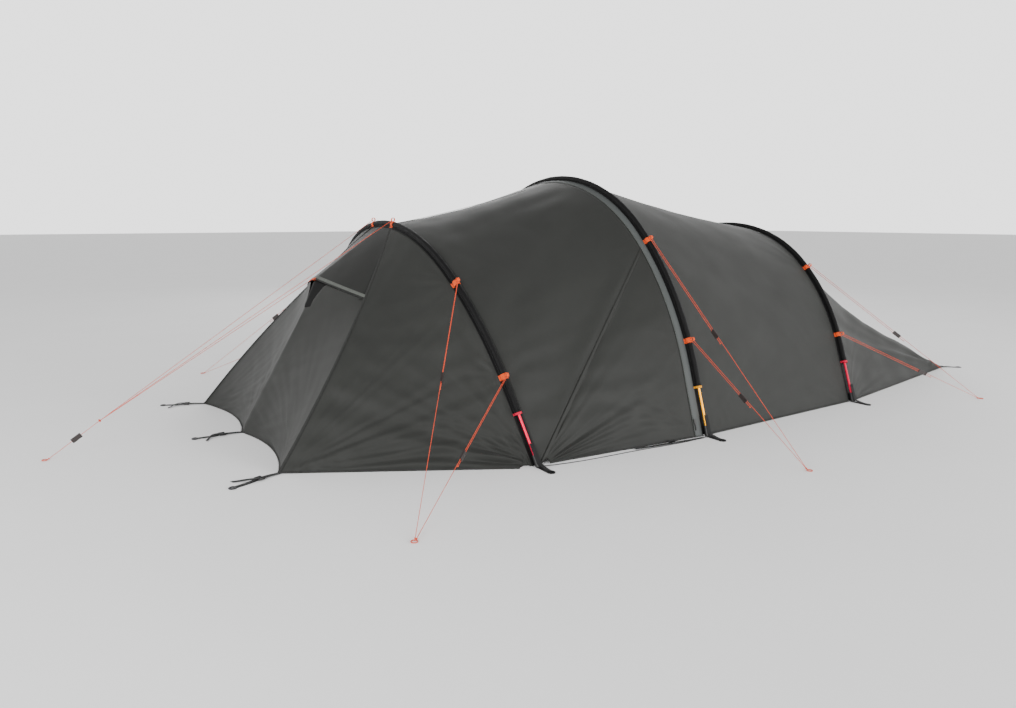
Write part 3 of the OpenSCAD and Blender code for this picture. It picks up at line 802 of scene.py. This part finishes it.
for tag, k in NEAR_FAR:
    seam_strip(f"vestibule_seam_{tag}", lambda t: side(seam(t), k), 60, 0.010, VEST_C)
    seam_strip(f"vestibule_hem_{tag}",
               lambda t: side(vestibule(lerp(-1, -CROWN, t), 1), k), 40, HEM_W, VEST_C)
    # tape over the slanted seam that the door hangs on
    rows = []
    for t in steps(0, 1, 40):
        a, b = side(front_roof(-1, t), k), side(door(t, 0), k)
        along = (side(DOOR_TOE, k) - side(flap_edge(-ZIP_TOP, FLAP_W), k)).normalized()
        out = V(0, a.y, a.z).normalized()
        c = along.cross(out).normalized()
        if c.dot(a - b) < 0:
            c = -c
        row = [a + c * 0.005, a, b, b - c * 0.005]
        rows.append([above(q, 0.001) + out * SEAM_T for q in row])
    hinge, _, _ = sheet_grid(f"door_hinge_tape_{tag}", rows, M["skin"], thick=HINGE_T)
    done(hinge, "skin")
    seam_strip(f"door_hem_{tag}", lambda t: side(door(t, 1), k), 30, HEM_W, None,
               body=f"side_door_{tag}")
    seam_strip(f"rear_hem_{tag}", lambda t: side(rear_roof(-1, t), k), 30, HEM_W, None)
    seam_strip(f"tail_hem_{tag}",
               lambda t: side(tail(lerp(-1, -TAIL_SHARE, t), 1), k), 30, HEM_W, REAR.x)
seam_strip("tail_end_hem", lambda t: tail(lerp(-TAIL_SHARE, TAIL_SHARE, t), 1), 40, HEM_W, REAR.x)
seam_strip("nose_hem", lambda t: centre(1, lerp(-1, 1, t)), 50, HEM_W, VEST_C)
seam_strip("roof_ridge_front", lambda t: front_roof(0, t), 40, 0.008, None)
pts = [inward(flap_edge(u, FLAP_W - 0.001), None, -0.0016) for u in steps(-1, 1, 200)]
done(curve("storm_flap_edge", [above(p, 0.002) for p in pts], 0.0011, M["piping"]), "flap")

# zip coil under the flap's edge, down each door
for tag, k in NEAR_FAR:
    pts = [side(flap_edge(-lerp(ZIP_TOP, 0.995, t), FLAP_W - 0.012), k) for t in steps(0, 1, 90)]
    pts = [above(inward(p, None, 0.0045), 0.003) for p in pts]
    done(curve(f"zip_coil_{tag}", pts, ZIP_R, M["zip"]), "zip")


# ---- sleeves ----------------------------------------------------------------------------
def sleeve_profile(grow=0.0):
    """Points (outwards, across) over the pole from one sewn flange to the other."""
    r = SLEEVE_R + grow
    ring = [(r * cos(a), r * sin(a)) for a in [radians(x) for x in range(-138, 139, 12)]]
    base = SEAT + CLOTH_T + grow
    left = [(base, -0.0185), (base, -0.0150), (base + 0.0008, -0.0118)]
    right = [(o, -d) for o, d in reversed(left)]
    return left + ring + right


def sleeve_tube(name, hoop, a, b, step, mat, grow=0.0, ripple=0.0, thick=SLEEVE_T):
    """The sleeve's profile, grown and rippled, swept along the hoop from a to b."""
    prof = sleeve_profile(grow)
    n = max(2, int(abs(b - a) / step))
    rows = []
    for i in range(n + 1):
        s = lerp(a, b, i / n)
        row = []
        for j, (off, dx) in enumerate(prof):
            soft = ripple * (1 if 3 <= j < len(prof) - 3 else 0)
            d = (soft * noise.noise(V(s * 42, j * 0.45, 2.0))
                 + soft * 0.5 * noise.noise(V(s * 11, j * 0.3, 5.0)))
            row.append(hoop.at(s, off * (1 + d / SLEEVE_R), dx * (1 + d / SLEEVE_R)))
        rows.append(row)
    verts = [above(p, 0.001) for r in rows for p in r]
    w = len(prof)
    faces = [(i * w + j, i * w + j + 1, (i + 1) * w + j + 1, (i + 1) * w + j)
             for i in range(n) for j in range(w - 1)]
    p = rows[n // 2][w // 2]
    d = (rows[n // 2][w // 2 + 1] - p).cross(rows[n // 2 + 1][w // 2] - p)
    if d.dot(p - V(p.x, 0, 0)) < 0:
        faces = [f[::-1] for f in faces]
    uvs = [(j * 0.004, i * abs(b - a) / n) for i in range(n + 1) for j in range(w)]
    return solidify(obj_from(name, verts, faces, mat, uvs), thick)


for hoop in HOOPS:
    e = hoop.s3 - BARE
    ob = sleeve_tube(f"{hoop.name}_sleeve_cloth", hoop, -e, e, 0.008, M["sleeve"], ripple=0.0011)
    done(ob, "sleeve", nodes=[f"{hoop.name}_sleeve"])
    band = M["gold_band"] if hoop is MID else M["pink_band"]
    for tag, k in NEAR_FAR:
        done(sleeve_tube(f"{hoop.name}_sleeve_mouth_{tag}", hoop, k * (e - 0.012), k * (e + 0.001),
                         0.003, M["sleeve"], 0.0012), "sleeve")
        done(sleeve_tube(f"{hoop.name}_mouth_band_{tag}", hoop, k * (e - 0.004), k * (e + 0.005),
                         0.003, band, 0.0020), "pole_gold" if hoop is MID else "pole_pink")
        # edge tape that backs the bare pole end, down to the cup
        pts = [hoop.at(k * s, SEAT + 0.0004) for s in steps(e - 0.01, hoop.s3 - 0.012, 16)]
        done(strip(f"{hoop.name}_edge_tape_{tag}", pts, hoop.axis(), 0.034, M["sleeve"]), "sleeve")

# ---- guy loops -------------------------------------------------------------------------
def loop_ring(name, c, x, out, width, r, mat):
    """A webbing loop round c whose axis is x, with its feet towards the sleeve."""
    z = x.cross(out).normalized()
    pts = []
    for i in range(29):
        t = lerp(radians(-65), radians(245), i / 28)
        k = 1 + 0.10 * max(0, -sin(t))
        pts.append(c + out * (r * k * sin(t)) + z * (r * cos(t)))
    return strip(name, pts, x, width, mat, LOOP_T)


def guy_loop(name, hoop, u, x, half):
    """A band of webbing round the sleeve at share u, with a loop on it whose axis is x."""
    s = u * hoop.s3
    done(sleeve_tube(name + "_wrap", hoop, s - half, s + half, 0.004, M["orange"], 0.0014,
                     thick=WEB_T), "guy_line")
    out = (hoop.at(s, 1) - hoop.at(s, 0)).normalized()
    done(loop_ring(name, loop_centre(hoop, u), x, out, 0.010, 0.0075, M["orange"]), "guy_line")


for hoop in HOOPS:
    for tag, k in NEAR_FAR:
        for i, part in enumerate(("upper", "lower")):
            guy_loop(f"loop_{hoop.name}_{tag}_{part}", hoop, k * LOOP_AT[i], hoop.axis(), 0.011)
for tag, k in NEAR_FAR:
    guy_loop(f"loop_crown_{tag}", FRONT, k * CROWN, V(0, 1, 0), 0.009)
tab = [HOOD_TIP + V(x, 0, z) for x, z in (
    (0.020, 0.0075), (0.008, 0.0050), (-0.004, 0.0030),
    (-0.010, 0.0002), (-0.006, -0.0035), (0.004, -0.0040))]
done(strip("hood_tip_tab", tab, V(0, 1, 0), 0.016, M["orange"], LOOP_T), "guy_line")


# ---- ground straps ---------------------------------------------------------------------
def buckle(name, p, d, w):
    """A ladder-lock buckle: a frame with three cross bars, lying flat."""
    c = V(-d.y, d.x, 0)
    verts, faces = [], []

    def bar(a, b, half, h):
        along = (b - a).normalized()
        acr = V(-along.y, along.x, 0)
        base = len(verts)
        for z in (0.001, h):
            for q, sgn in ((a, -1), (a, 1), (b, 1), (b, -1)):
                verts.append(q + acr * (half * sgn) + V(0, 0, z))
        for f in ((0, 3, 2, 1), (4, 5, 6, 7), (0, 1, 5, 4), (1, 2, 6, 5), (2, 3, 7, 6),
                  (3, 0, 4, 7)):
            faces.append(tuple(base + i for i in f))

    half = w / 2 + 0.003
    for s in (-1, 1):
        bar(p + c * half * s - d * 0.013, p + c * half * s + d * 0.013, 0.002, 0.0075)
    for off in (-0.011, 0.0, 0.011):
        bar(p + d * off - c * half, p + d * off + c * half, 0.0018, 0.0068)
    ob = obj_from(name, verts, faces, M["cup"])
    bev = ob.modifiers.new("edge", "BEVEL")
    bev.width = 0.0009
    bev.segments = 2
    return done(ob, "cup")


def ring(name, p, slot="webbing"):
    """A flat sewn eye with a 12 mm hole."""
    verts, faces, n = [], [], 40
    section = [(0.0062, 0.0010), (0.0062, 0.0032), (0.0072, 0.0040), (0.0130, 0.0040),
               (0.0148, 0.0030), (0.0148, 0.0010), (0.0130, 0.0004), (0.0072, 0.0004)]
    for i in range(n):
        t = 2 * pi * i / n
        for r, z in section:
            verts.append(V(p.x + r * cos(t), p.y + r * sin(t), z))
    m = len(section)
    for i in range(n):
        a, b = i * m, ((i + 1) % n) * m
        for j in range(m):
            faces.append((a + j, b + j, b + (j + 1) % m, a + (j + 1) % m))
    return done(obj_from(name, verts, faces, M["ring"]), slot)


# name, hem corner, direction in degrees, length, and the way its loose end turns
STRAPS = (
    ("nose_strap_near", NOSE_NEAR, 200, 0.190, -1),
    ("nose_strap_far", side(NOSE_NEAR, 1), 160, 0.190, 1),
    ("nose_strap_mid", NOSE_MID, 180, 0.190, 1),
    ("tail_strap_near", V(TAIL_X, -TAIL_Y, 0), -35, 0.090, -1),
    ("tail_strap_far", V(TAIL_X, TAIL_Y, 0), 35, 0.090, 1),
)
for name, p, yaw, length, turn in STRAPS:
    d = V(cos(radians(yaw)), sin(radians(yaw)), 0)
    c = V(-d.y, d.x, 0)
    pts = [p + d * (length * t) + V(0, 0, 0.0016 + 0.0035 * sin(pi * min(1, t * 1.6)))
           for t in steps(-0.10, 0.93, 30)]
    done(strip(name + "_web", pts, c, WEB_W, M["webbing"], WEB_T), "webbing", nodes=[name])
    ring(name + "_eye", p + d * length)
    if length > 0.1:
        at_b = p + d * (length * 0.42)
        buckle(name + "_buckle", at_b + V(0, 0, 0.002), d, WEB_W)
        pts = []
        for t in steps(0, 1, 24):
            bend = turn * 0.6 * smooth(t)
            turned = V(d.x * cos(bend) - d.y * sin(bend), d.y * cos(bend) + d.x * sin(bend), 0)
            q = at_b + turned * (0.095 * t)
            pts.append(V(q.x, q.y, 0.0082 - 0.0060 * smooth(t * 1.4) + 0.006 * sin(pi * t) ** 2))
        done(strip(name + "_tail", pts, c, 0.018, M["webbing"], WEB_T), "webbing")

# ---- webbing on the feet ----------------------------------------------------------------
for hoop in HOOPS:
    for tag, k in NEAR_FAR:
        toe = hoop.at(k * hoop.s3)
        pts = []
        for t in steps(0, 1, 26):
            if t < 0.45:
                q = hoop.at(k * (hoop.s3 - 0.085 * (1 - t / 0.45) - 0.004), 0.0122)
            else:
                f = (t - 0.45) / 0.55
                q = V(toe.x, toe.y + k * (0.013 + 0.052 * f), 0.0042 + 0.008 * (1 - f) ** 2)
            pts.append(q)
        web = strip(f"{hoop.name}_foot_web_{tag}", pts, V(1, 0, 0), WEB_W, M["webbing"], WEB_T)
        done(web, "webbing")
        ring(f"{hoop.name}_foot_eye_{tag}", V(toe.x, toe.y + k * 0.074, 0), "cup")

# strap with a buckle at the doors' lower corner
for tag, k in NEAR_FAR:
    a = side(door(0, 1), k)
    d = (side(DOOR_TOE, k) - a).normalized()
    c = V(-d.y, d.x, 0)
    pts = [a + d * (0.36 * t - 0.02) + V(0, 0, 0.0022 + 0.003 * abs(sin(4 * t)))
           + c * (-k * 0.006 * sin(5 * t)) for t in steps(0, 1, 30)]
    pts = [q + V(0, k * 0.020, 0) for q in pts]
    done(strip(f"door_strap_{tag}", pts, c, STRAP_W, M["webbing"], WEB_T), "webbing")
    buckle(f"door_buckle_{tag}", a + d * 0.15 + V(0, k * 0.020, 0.003), d, STRAP_W)


# ---- inner tent ---------------------------------------------------------------------------
INNER_GAP, FLOOR_H = 0.090, 0.080   # gap to the outer skin, and the floor's raised edge
INNER_Z = FLOOR_H + 0.004           # lowest point of the canopy and the wall
WALL_X = INNER_GAP + 0.012
INNER_OFF = SEAT - INNER_GAP
FLOOR_FRONT = MID.x + WALL_X - 0.020


def canopy_row(i, u):
    """The point at share u of cross-section i, from the front wall (0) to the tail (4)."""
    if i == 0:
        return above(MID.on(u, INNER_OFF, WALL_X + 0.006), INNER_Z)
    if i == 1:
        q = MID.on(u, INNER_OFF, WALL_X + 0.300)
        return above(V(q.x, q.y, q.z - 0.020 * (1 - abs(u))), INNER_Z)
    if i == 2:
        return above(REAR.on(u, INNER_OFF - 0.010, -EDGE), INNER_Z)
    a = u / 0.9 * pi / 2
    if i == 3:
        return V(1.330, 0.690 * sin(a), INNER_Z + 0.290 * max(cos(a), 0) ** 0.8)
    return V(1.640, 0.590 * sin(a), INNER_Z + 0.030 * cos(a))


rows = []
for i in range(4):
    for t in steps(0, 1, 14)[:-1]:
        rows.append([lerp(canopy_row(i, u), canopy_row(i + 1, u), t) for u in steps(-0.9, 0.9, 90)])
rows.append([canopy_row(4, u) for u in steps(-0.9, 0.9, 90)])
cloth("inner_canopy_cloth", rows, M["inner"], "inner", ["inner_canopy"], cx=0.4,
      fold=lambda p, t, u: window(t, 0.05) * window(u, 0.05) * 0.006 * noise.noise(p * 5))


def filled(name, outlines, mat, to_world, thick):
    """A flat sheet with holes, from 2D outlines."""
    data = bpy.data.curves.new(name, "CURVE")
    data.dimensions = "2D"
    data.fill_mode = "BOTH"
    for pts in outlines:
        spline = data.splines.new("POLY")
        spline.points.add(len(pts) - 1)
        for q, p in zip(spline.points, pts):
            q.co = (p[0], p[1], 0, 1)
        spline.use_cyclic_u = True
    tmp = bpy.data.objects.new(name + "_tmp", data)
    bpy.context.scene.collection.objects.link(tmp)
    bpy.context.view_layer.update()
    mesh = bpy.data.meshes.new_from_object(tmp)
    bpy.data.objects.remove(tmp)
    bm = bmesh.new()
    bm.from_mesh(mesh)
    bmesh.ops.remove_doubles(bm, verts=bm.verts, dist=1e-5)
    verts = [v.co.copy() for v in bm.verts]
    faces = [[v.index for v in f.verts] for f in bm.faces]
    bm.free()
    ob = obj_from(name, [to_world(v.x, v.y) for v in verts], faces, mat,
                  [(v.x, v.y) for v in verts])
    return solidify(ob, thick, 0)


def door_outline(g):
    """The inner door's outline, grown by g."""
    w, r, h, sill = 0.280 + g, 0.160 + g, 0.690, 0.120
    top = sill + h - 0.160
    pts = [(-w, sill - g), (w, sill - g)]
    pts += [(w - r + r * cos(a), top + r * sin(a)) for a in steps(0, pi / 2, 12)]
    pts += [(-w + r + r * cos(a), top + r * sin(a)) for a in steps(pi / 2, pi, 12)]
    return pts


def wall_world(y, z):
    return V(MID.x + WALL_X + 0.001, y, z)


outer = [above(MID.on(u, INNER_OFF, 0), INNER_Z) for u in steps(-0.93, 0.93, 64)]
outer = [(p.y, p.z) for p in outer]
wall = filled("inner_wall_cloth", [outer, door_outline(0.004)], M["inner"], wall_world, CLOTH_T)
done(wall, "inner", nodes=["inner_wall"])
leaf = filled("inner_door_cloth", [door_outline(0)], M["inner"], wall_world, CLOTH_T)
done(leaf, "inner", "inner_door", ["inner_door_leaf"])
rim_pts = [wall_world(y, z) + V(0.0002, 0, 0) for y, z in door_outline(0.0035)]
done(curve("inner_door_zip", rim_pts, ZIP_R, M["zip"], cyclic=True), "zip")

FLOOR_PTS = [(FLOOR_FRONT, -0.925), (REAR.x, -0.880), (1.690, -0.600),
             (1.690, 0.600), (REAR.x, 0.880), (FLOOR_FRONT, 0.925)]


def rounded(pts, r, n=6):
    """The outline with each corner replaced by a curve that starts r metres from it."""
    out = []
    for i, p in enumerate(pts):
        a, b = V(*pts[i - 1]), V(*pts[(i + 1) % len(pts)])
        q = V(*p)
        s, e = q + (a - q).normalized() * r, q + (b - q).normalized() * r
        for t in steps(0, 1, n):
            out.append(lerp(lerp(s, q, t), lerp(q, e, t), t))
    return out


base = rounded(FLOOR_PTS, 0.05)
cen = V(0.7, 0)
# share of the way out from the middle, and height: a flat floor with a raised edge
rings = [(0.5, 0.0008), (0.97, 0.0010), (0.988, 0.004), (0.994, 0.016), (0.996, 0.045),
         (0.997, FLOOR_H)]
verts = [V(cen.x, cen.y, 0.0008)]
uvs = [(cen.x, cen.y)]
for f, z in rings:
    for p in base:
        q = lerp(cen, p, f)
        wave = 0.0015 * noise.noise(V(q.x * 9, q.y * 9, z * 20)) if z > 0.002 else 0
        verts.append(V(q.x, q.y, z + wave))
        uvs.append((q.x, q.y + z))
m = len(base)
faces = [(0, 1 + i, 1 + (i + 1) % m) for i in range(m)]
for r in range(len(rings) - 1):
    for i in range(m):
        a, b = 1 + r * m + i, 1 + r * m + (i + 1) % m
        faces.append((a, a + m, b + m, b))
floor_cloth = solidify(obj_from("inner_floor_cloth", verts, faces, M["floor"], uvs), FLOOR_T, 0)
done(floor_cloth, "floor", nodes=["inner_floor"])

# ---- CAD nodes that stay -------------------------------------------------------------------
for name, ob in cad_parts.items():
    if ob.hide_render:
        continue
    if name.startswith("grip"):
        mat = M["slider"]
    elif "pole_end" in name:
        mat = M["pole_gold"] if name.startswith("middle") else M["pole_pink"]
    elif name.endswith("_pole"):
        mat = M["pole"]
    elif "zip" in name:
        mat = M["zip"]
    else:
        mat = M["cup"]
    ob.data.materials.clear()
    ob.data.materials.append(mat)

# ---- floor, world and lights --------------------------------------------------------------
fm = Mat("pale_floor", (0.86, 0.86, 0.86), 0.9)
fm.tint(fm.noise(fm.coords("Object"), 2, 3), 0.01)
ground_plane = obj_from("floor", [V(-45, -45, 0), V(45, -45, 0), V(45, 45, 0), V(-45, 45, 0)],
                        [(0, 1, 2, 3)], fm.m)

world = bpy.data.worlds.new("studio")
bpy.context.scene.world = world
world.use_nodes = True
tree = world.node_tree
back = tree.nodes["Background"]
back.inputs["Strength"].default_value = 2.3
sky = tree.nodes.new("ShaderNodeTexCoord")
split = tree.nodes.new("ShaderNodeSeparateXYZ")
ramp = tree.nodes.new("ShaderNodeValToRGB")
ramp.color_ramp.elements[0].position = 0.30
ramp.color_ramp.elements[0].color = (1, 1, 1, 1)
ramp.color_ramp.elements[1].position = 0.85
ramp.color_ramp.elements[1].color = (0.12, 0.12, 0.12, 1)
tree.links.new(sky.outputs["Generated"], split.inputs[0])
tree.links.new(split.outputs["Z"], ramp.inputs["Fac"])
tree.links.new(ramp.outputs["Color"], back.inputs["Color"])


def area_light(name, loc, target, size, power):
    """A round lamp at loc that faces target."""
    data = bpy.data.lights.new(name, "AREA")
    data.shape = "DISK"
    data.size = size
    data.energy = power
    ob = bpy.data.objects.new(name, data)
    bpy.context.scene.collection.objects.link(ob)
    ob.location = loc
    ob.rotation_euler = (V(*target) - V(*loc)).to_track_quat("-Z", "Y").to_euler()


area_light("key", (-5.6, -3.4, 1.7), (-1.2, 0, 0.4), 2.6, 230)
area_light("side", (2.0, -6.0, 1.3), (0.3, 0, 0.4), 3.2, 290)
area_light("back", (2.5, 4.5, 2.5), (0, 0, 0.4), 3.0, 90)
